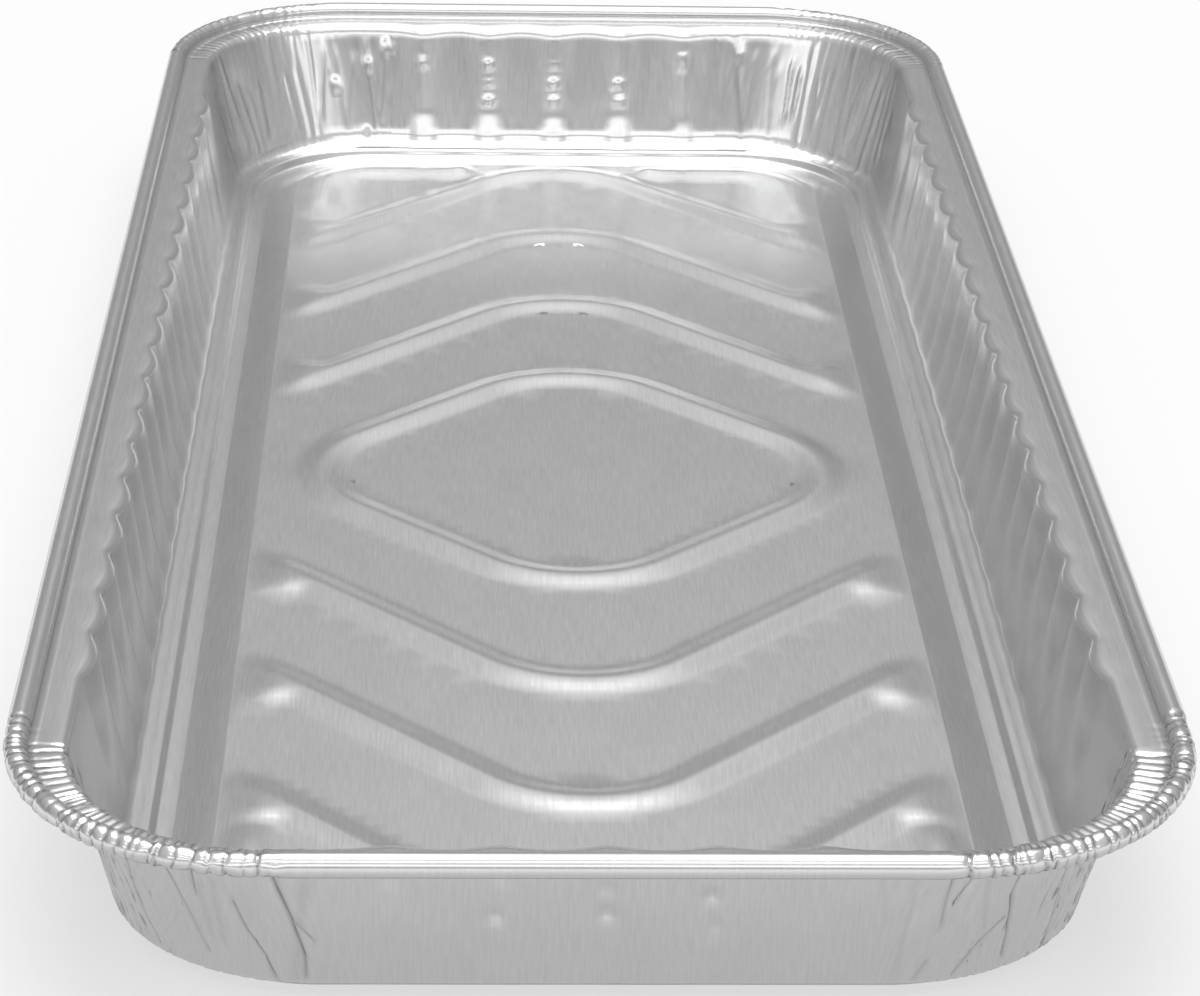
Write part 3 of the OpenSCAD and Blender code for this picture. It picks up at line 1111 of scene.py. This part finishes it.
# %% [markdown]
# The panel is a second flat grid, because the columns round the pan would crowd together in its
# middle. Its corners are pulled in to quarter circles. The cells near a bead are halved twice,
# and each point is then lifted by the height of the beads.

# %% The floor panel
seam_gap = 0.25 * mm
floor_inset = panel_inset + panel_lip + seam_gap
floor_x, floor_y = half_w - floor_inset, half_l - floor_inset
floor_r = float(corner_radius(np.array(floor_inset)))
coarse_cell = 5.0 * mm
fine_levels, fine_margin = 2, 0.35


def round_corners(at):
    """Pulls the corners of a rectangle in to a quarter of a circle each."""
    over = np.maximum(np.abs(at) - (np.array([floor_x, floor_y]) - floor_r), 0)
    pulled = over * np.sqrt(np.maximum(1 - over[:, ::-1] ** 2 / (2 * floor_r**2), 0))
    return at + np.sign(at) * (pulled - over)


def near_bead(faces, reach):
    """The faces whose middle lies within a reach of a bead's route."""
    middles = np.array([face.calc_center_median()[:2] for face in faces])
    away = np.min([distance_to(parts, middles) for parts in routes], axis=0)
    return [face for face, gap in zip(faces, away) if gap < reach]


across, up = round(2 * floor_x / coarse_cell), round(2 * floor_y / coarse_cell)
panel = flat_grid(across, up)
bmesh.ops.translate(panel, vec=(-across / 2, -up / 2, 0), verts=panel.verts)
bmesh.ops.scale(panel, vec=(2 * floor_x / across, 2 * floor_y / up, 1), verts=panel.verts)
for vert, at in zip(panel.verts, round_corners(np.array([vert.co[:2] for vert in panel.verts]))):
    vert.co.xy = at
cell = coarse_cell
for level in range(fine_levels):
    chosen = near_bead(list(panel.faces), bead_w / 2 + fine_margin * cell)
    edges = list({edge for face in chosen for edge in face.edges})
    bmesh.ops.subdivide_edges(panel, edges=edges, cuts=1, use_grid_fill=True)
    cell = cell / 2
panel_at = np.array([vert.co[:2] for vert in panel.verts])
for vert, height in zip(panel.verts, bead_height(panel_at)):
    vert.co.z = panel_z - drop + height
bmesh.ops.triangulate(panel, faces=panel.faces, quad_method="SHORT_EDGE", ngon_method="BEAUTY")
print("panel", len(panel.faces), "triangles, cells of", round(cell / mm, 2), "mm")

# %% [markdown]
# The sheet and the panel meet along one flat seam, a quarter of a millimetre wide, which is
# filled with triangles. The open edges that are left are those of the rolled edge, and a slit
# in one wall, where the sheet's last column is cut finer than its first.

# %% One skin
def join_panel(sheet, panel):
    """Adds the panel's faces to the sheet and fills the flat seam between them."""
    mesh = bpy.data.meshes.new("panel_part")
    flat_x = panel.verts.layers.float.new("flat_x")
    flat_y = panel.verts.layers.float.new("flat_y")
    for vert in panel.verts:
        vert[flat_x], vert[flat_y] = vert.co.xy
    panel.to_mesh(mesh)
    sheet.from_mesh(mesh)
    bpy.data.meshes.remove(mesh)
    seam_z = panel_z - drop
    seam = [
        edge
        for edge in sheet.edges
        if edge.is_boundary and all(abs(vert.co.z - seam_z) < foil for vert in edge.verts)
    ]
    bmesh.ops.scale(sheet, vec=(1 / mm, 1 / mm, 1 / mm), verts=sheet.verts)
    filled = bmesh.ops.triangle_fill(sheet, edges=seam, use_beauty=True, use_dissolve=False)
    bmesh.ops.scale(sheet, vec=(mm, mm, mm), verts=sheet.verts)
    made = [part for part in filled["geom"] if isinstance(part, bmesh.types.BMFace)]
    print("seam", len(seam), "edges", len(made), "faces")


join_panel(sheet, panel)
bmesh.ops.recalc_face_normals(sheet, faces=sheet.faces)
if sum(face.normal.z * face.calc_area() for face in sheet.faces) < 0:
    bmesh.ops.reverse_faces(sheet, faces=sheet.faces)
for face in sheet.faces:
    face.smooth = True
print("open edges", sum(edge.is_boundary for edge in sheet.edges))

# %% [markdown]
# The skin becomes one object. Its lower side could be drawn as a second skin, but a Solidify
# modifier gives thin foil nearly the same thickness everywhere. An offset of -1 puts it on the
# lower side, so the upper side stays where the press left it.

# %% The pan
pan_mesh = bpy.data.meshes.new("foil_pan")
sheet.to_mesh(pan_mesh)
foil_pan = bpy.data.objects.new("foil_pan", pan_mesh)
bpy.context.scene.collection.objects.link(foil_pan)
thickness = foil_pan.modifiers.new("thickness", "SOLIDIFY")
thickness.thickness = foil
thickness.offset = -1
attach(foil_pan, "root")
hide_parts("pan")
print("pan", len(pan_mesh.polygons), "faces on its upper side")

# %% [markdown]
# Rolled foil is not a mirror. The rolls leave fine lines along the sheet, which blur what it
# reflects, and the lines stay straight on the flat blank while the press bends it. So the
# pattern reads each point's place on the flat sheet, not its place in the pan.

# %% The foil's finish
foil_colour = (0.72, 0.72, 0.725)
line_width, line_length = 0.32 * mm, 5 * mm
cloud_size = 7 * mm
tone_range = (0.86, 1.14)
# Painted shade in folds: how far the foil's colour goes towards a dark grey along sharp creases and
# crimp valleys.
fold_shade_strength, fold_shade_colour = 0.8, (0.16, 0.16, 0.165)
smooth_roughness, rough_more = 0.18, 0.12
line_share, line_relief, line_strength = 0.7, 0.004 * mm, 0.25
foil_metal = bpy.data.materials.new("foil_metal")
metal = Graph(foil_metal)


def kept(name):
    """What the sheet's vertices keep in one of their layers."""
    return metal.node("ShaderNodeAttribute", {"attribute_name": name}, output="Fac")


def on_sheet(size_across, size_along):
    """A place on the flat sheet, counted in lengths of a pattern."""
    place = {"X": kept("flat_x") * (1 / size_across), "Y": kept("flat_y") * (1 / size_along)}
    return metal.node("ShaderNodeCombineXYZ", inputs=place)


def noise_pattern(place, detail):
    """A noise of a place on the sheet."""
    return metal.node("ShaderNodeTexNoise", inputs={"Vector": place, "Scale": 1.0, "Detail": detail})


def mixed(share, first, second):
    """A colour between two others."""
    return metal.node("ShaderNodeMix", {"data_type": "RGBA"}, {0: share, 6: first, 7: second}, output=2)


lines = noise_pattern(on_sheet(line_width, line_length), 3.0)
clouds = noise_pattern(on_sheet(cloud_size, 2 * cloud_size), 4.0)
shine = lines * line_share + clouds * (1 - line_share)
dull, bright = [(*[tone * part for part in foil_colour], 1) for tone in tone_range]
# The foil's colour with painted shade: it is darkened towards a dark grey along folds and crimp
# valleys.
tone = mixed(kept("painted_fold_shade") * fold_shade_strength, mixed(shine, dull, bright), (*fold_shade_colour, 1))
relief = metal.node(
    "ShaderNodeBump", inputs={"Height": lines, "Strength": line_strength, "Distance": line_relief}
)
roughness = shine * rough_more + smooth_roughness
metal.feed(
    metal.existing("Principled BSDF"),
    {"Base Color": tone, "Metallic": 1.0, "Roughness": roughness, "Normal": relief},
)
foil_pan.data.materials.append(foil_metal)
print("foil", len(metal.tree.nodes), "nodes")

# %% [markdown]
# The last step sets the view transform to Standard.

# %% The view transform
bpy.context.scene.view_settings.view_transform = "Standard"
